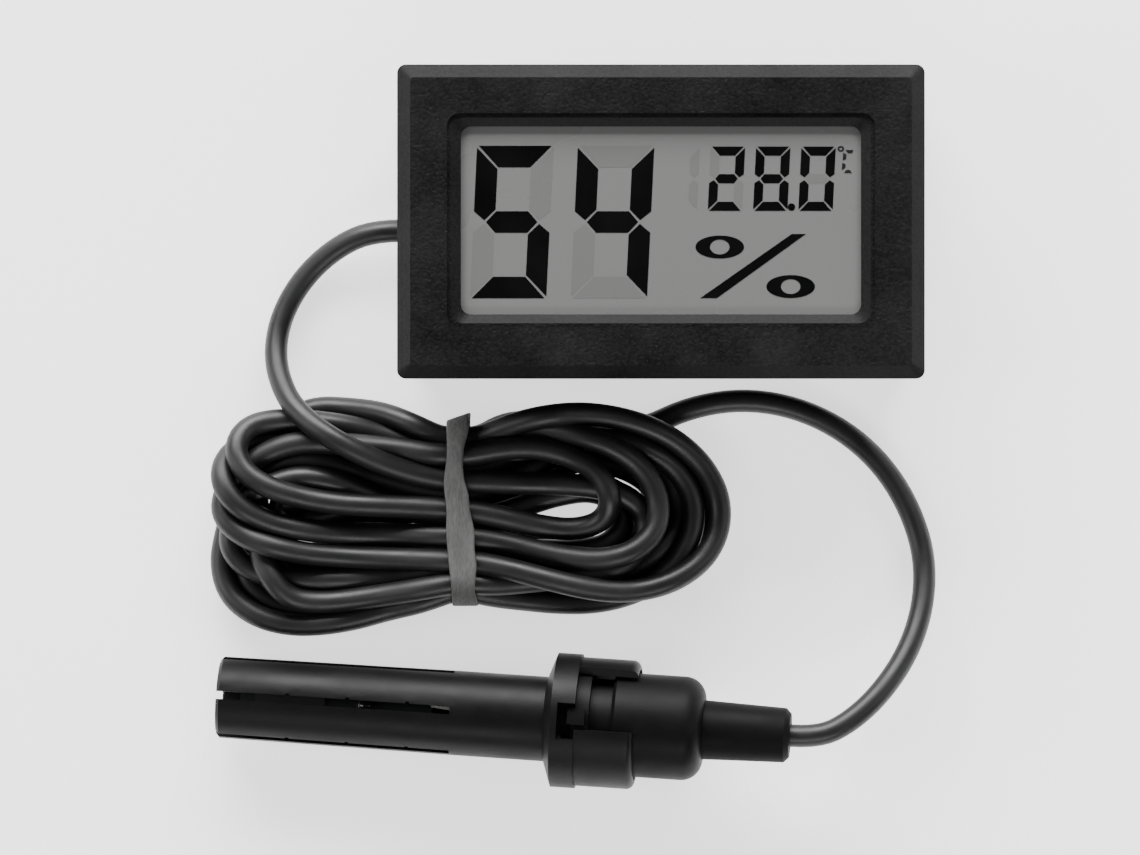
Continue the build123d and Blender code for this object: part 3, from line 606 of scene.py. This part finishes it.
def finish_material(name, colour, roughness, metallic=0.0, spread=0.25, patch=150.0, uneven=0.06,
                    grain=0.0, grain_size=0.25, stretch=(1, 1, 1), flats_only=False,
                    specular=0.5, coat=0.0):
    """A procedural finish: colour and gloss vary in soft patches, over a fine raised grain.

    patch is patches per metre, uneven is how far the roughness varies, and grain and grain_size are
    the grain's height and width in millimetres. With flats_only the grain stays off bevelled faces.
    """
    made = bpy.data.materials.new(name)
    made.use_nodes = True
    tree = made.node_tree
    shader = tree.nodes["Principled BSDF"]
    shader.inputs["Metallic"].default_value = metallic
    shader.inputs["Specular IOR Level"].default_value = specular
    shader.inputs["Coat Weight"].default_value = coat
    shader.inputs["Coat Roughness"].default_value = coat_roughness

    def node(kind, **inputs):
        new = tree.nodes.new(kind)
        for socket, value in inputs.items():
            new.inputs[socket.replace("_", " ")].default_value = value
        return new

    def join(source, target):
        tree.links.new(source, target)

    coordinates = node("ShaderNodeTexCoord")
    mapping = node("ShaderNodeMapping", Scale=stretch)
    join(coordinates.outputs["Object"], mapping.inputs["Vector"])
    soft = node("ShaderNodeTexNoise", Scale=patch, Detail=patch_detail)
    fine = node("ShaderNodeTexNoise", Scale=1 / (grain_size * MM), Detail=grain_detail)
    join(mapping.outputs["Vector"], soft.inputs["Vector"])
    join(mapping.outputs["Vector"], fine.inputs["Vector"])

    mask = None
    if flats_only:
        geometry = node("ShaderNodeNewGeometry")
        parts = node("ShaderNodeSeparateXYZ")
        join(geometry.outputs["Normal"], parts.inputs["Vector"])
        largest = None
        for way in "XYZ":
            size = node("ShaderNodeMath")
            size.operation = "ABSOLUTE"
            join(parts.outputs[way], size.inputs[0])
            if largest is None:
                largest = size
                continue
            more = node("ShaderNodeMath")
            more.operation = "MAXIMUM"
            join(largest.outputs[0], more.inputs[0])
            join(size.outputs[0], more.inputs[1])
            largest = more
        flat = node("ShaderNodeMapRange")
        flat.inputs["From Min"].default_value = flat_from
        flat.inputs["From Max"].default_value = flat_to
        join(largest.outputs[0], flat.inputs["Value"])
        mask = flat.outputs["Result"]

    def ranged(source, low, high):
        scale = node("ShaderNodeMapRange")
        scale.inputs["From Min"].default_value = noise_low
        scale.inputs["From Max"].default_value = noise_high
        scale.inputs["To Min"].default_value = low
        scale.inputs["To Max"].default_value = high
        join(source, scale.inputs["Value"])
        return scale.outputs["Result"]

    mixed = node("ShaderNodeMix")
    mixed.data_type = "RGBA"
    mixed.inputs["A"].default_value = (*[c * (1 - spread) for c in colour], 1)
    mixed.inputs["B"].default_value = (*[c * (1 + spread) for c in colour], 1)
    tone = node("ShaderNodeMath")
    tone.operation = "ADD"
    join(ranged(soft.outputs["Fac"], 0.0, 0.5), tone.inputs[0])
    join(ranged(fine.outputs["Fac"], 0.0, 0.5), tone.inputs[1])
    join(tone.outputs[0], mixed.inputs["Factor"])
    join(mixed.outputs["Result"], shader.inputs["Base Color"])
    join(ranged(soft.outputs["Fac"], roughness - uneven, roughness + uneven), shader.inputs["Roughness"])
    if grain:
        bump = node("ShaderNodeBump", Distance=grain * MM)
        join(fine.outputs["Fac"], bump.inputs["Height"])
        if mask is not None:
            join(mask, bump.inputs["Strength"])
        join(bump.outputs["Normal"], shader.inputs["Normal"])
    return made


black = (0.0036, 0.0036, 0.0037)
finishes = {
    "case_plastic": finish_material("case_plastic", (0.0068, 0.0068, 0.007), 0.5, spread=0.95, grain=0.1,
                                    grain_size=0.26, flats_only=True, specular=0.12),
    "rear_plastic": finish_material("rear_plastic", black, 0.42, grain=0.03, grain_size=0.22,
                                    flats_only=True),
    "clip_plastic": finish_material("clip_plastic", black, 0.36, grain=0.01),
    "lcd_glass": finish_material("lcd_glass", (0.25, 0.26, 0.255), 0.08, spread=0.04),
    "lcd_film": finish_material("lcd_film", (0.134, 0.135, 0.133), 0.3, spread=0.015, patch=60,
                                specular=0.3),
    "reflector_film": finish_material("reflector_film", (0.55, 0.55, 0.54), 0.35, metallic=0.4),
    "spacer_plastic": finish_material("spacer_plastic", (0.6, 0.6, 0.58), 0.5),
    "zebra_rubber": finish_material("zebra_rubber", (0.35, 0.32, 0.3), 0.7, stretch=(6, 1, 1)),
    "board": finish_material("board", (0.004, 0.012, 0.007), 0.35, grain=0.01, coat=0.3),
    "screw_steel": finish_material("screw_steel", (0.5, 0.5, 0.52), 0.32, metallic=1.0),
    "epoxy": finish_material("epoxy", (0.012, 0.012, 0.013), 0.15),
    "can_metal": finish_material("can_metal", (0.62, 0.62, 0.64), 0.25, metallic=1.0),
    "resistor": finish_material("resistor", (0.03, 0.03, 0.035), 0.4, grain=0.01),
    "capacitor": finish_material("capacitor", (0.36, 0.24, 0.14), 0.5, grain=0.01),
    "contact_metal": finish_material("contact_metal", (0.6, 0.58, 0.54), 0.28, metallic=1.0,
                                     stretch=(1, 5, 1)),
    "cell_metal": finish_material("cell_metal", (0.66, 0.66, 0.68), 0.22, metallic=1.0, grain=0.004),
    "grommet_rubber": finish_material("grommet_rubber", (0.012, 0.012, 0.012), 0.6, grain=0.01),
    "wire_insulation": finish_material("wire_insulation", (0.02, 0.02, 0.021), 0.4),
    "sensor_wire": finish_material("sensor_wire", (0.5, 0.5, 0.48), 0.35),
    "cable_pvc": finish_material("cable_pvc", (0.0045, 0.0045, 0.0046), 0.47, patch=260, grain=0.008,
                                 grain_size=0.5, uneven=0.07),
    "band_rubber": finish_material("band_rubber", (0.098, 0.097, 0.096), 0.78, spread=0.35, patch=420,
                                   grain=0.05, grain_size=0.35, stretch=(3, 0.6, 1), specular=0.25),
    "probe_plastic": finish_material("probe_plastic", (0.0026, 0.0026, 0.0026), 0.45, patch=220, grain=0.008,
                                     grain_size=0.4, specular=0.16),
    "cap_plastic": finish_material("cap_plastic", (0.003, 0.003, 0.003), 0.5, patch=220, grain=0.008,
                                   specular=0.11),
    "boot_rubber": finish_material("boot_rubber", (0.003, 0.003, 0.003), 0.56, patch=260, grain=0.008,
                                   specular=0.08),
    "sensor_ceramic": finish_material("sensor_ceramic", (0.02, 0.02, 0.021), 0.5, grain=0.01),
}
slot_of_node = {
    "front_bezel": "case_plastic",
    "rear_cover": "rear_plastic",
    "battery_cover": "rear_plastic",
    "contact_bridge": "contact_metal",
    "positive_contact": "contact_metal",
    "negative_contact": "contact_metal",
    "panel_clip_left": "clip_plastic",
    "panel_clip_right": "clip_plastic",
    "lcd_front_polariser": "lcd_film",
    "lcd_front_glass": "lcd_glass",
    "lcd_rear_glass": "lcd_glass",
    "lcd_reflector": "reflector_film",
    "lcd_spacer_frame": "spacer_plastic",
    "zebra_connector": "zebra_rubber",
    "circuit_board": "board",
    "sensor_board": "board",
    "board_screws": "screw_steel",
    "controller_blob": "epoxy",
    "thermistor_bead": "epoxy",
    "crystal_can": "can_metal",
    "chip_resistors": "resistor",
    "chip_capacitors": "capacitor",
    "button_cell_left": "cell_metal",
    "button_cell_right": "cell_metal",
    "cable_grommet": "grommet_rubber",
    "display_lead_wires": "wire_insulation",
    "sensor_lead_wires": "sensor_wire",
    "cable_display_lead": "cable_pvc",
    "cable_hank": "cable_pvc",
    "cable_probe_lead": "cable_pvc",
    "rubber_band": "band_rubber",
    "probe_barrel": "probe_plastic",
    "probe_cap": "cap_plastic",
    "probe_boot": "boot_rubber",
    "humidity_element": "sensor_ceramic",
}
for node_name, slot in slot_of_node.items():
    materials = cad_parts[node_name].data.materials
    materials.clear()
    materials.append(finishes[slot])

segment_ink = finish_material("segment_ink", (0.0012, 0.0012, 0.0013), 0.3, spread=0.3, specular=0.2)
faint_ink = finish_material("faint_ink", (0.012, 0.012, 0.012), 0.3, specular=0.3)
ghost_ink = finish_material("ghost_ink", (0.115, 0.116, 0.114), 0.3, spread=0.015, patch=60, specular=0.3)
floor_paper = finish_material("floor_paper", (0.87, 0.87, 0.87), 0.9, spread=0.01, patch=20, specular=0.1)
floor_shader = floor_paper.node_tree.nodes["Principled BSDF"]
floor_shader.inputs["Emission Color"].default_value = (1, 1, 1, 1)
floor_shader.inputs["Emission Strength"].default_value = floor_glow

# ======================= pieces, finishes and bodies ====================

for piece, finish, slot in (
    (cable, finishes["cable_pvc"], "cable_pvc"),
    (hank_band, finishes["band_rubber"], "band_rubber"),
    (lcd_lit, segment_ink, "lcd_film"),
    (lcd_faint, faint_ink, "lcd_film"),
    (lcd_ghost, ghost_ink, "lcd_film"),
):
    piece.data.materials.append(finish)
    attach(piece, "root")
floor.data.materials.append(floor_paper)

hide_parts("cable_display_lead", "cable_hank", "cable_probe_lead")
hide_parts("rubber_band")
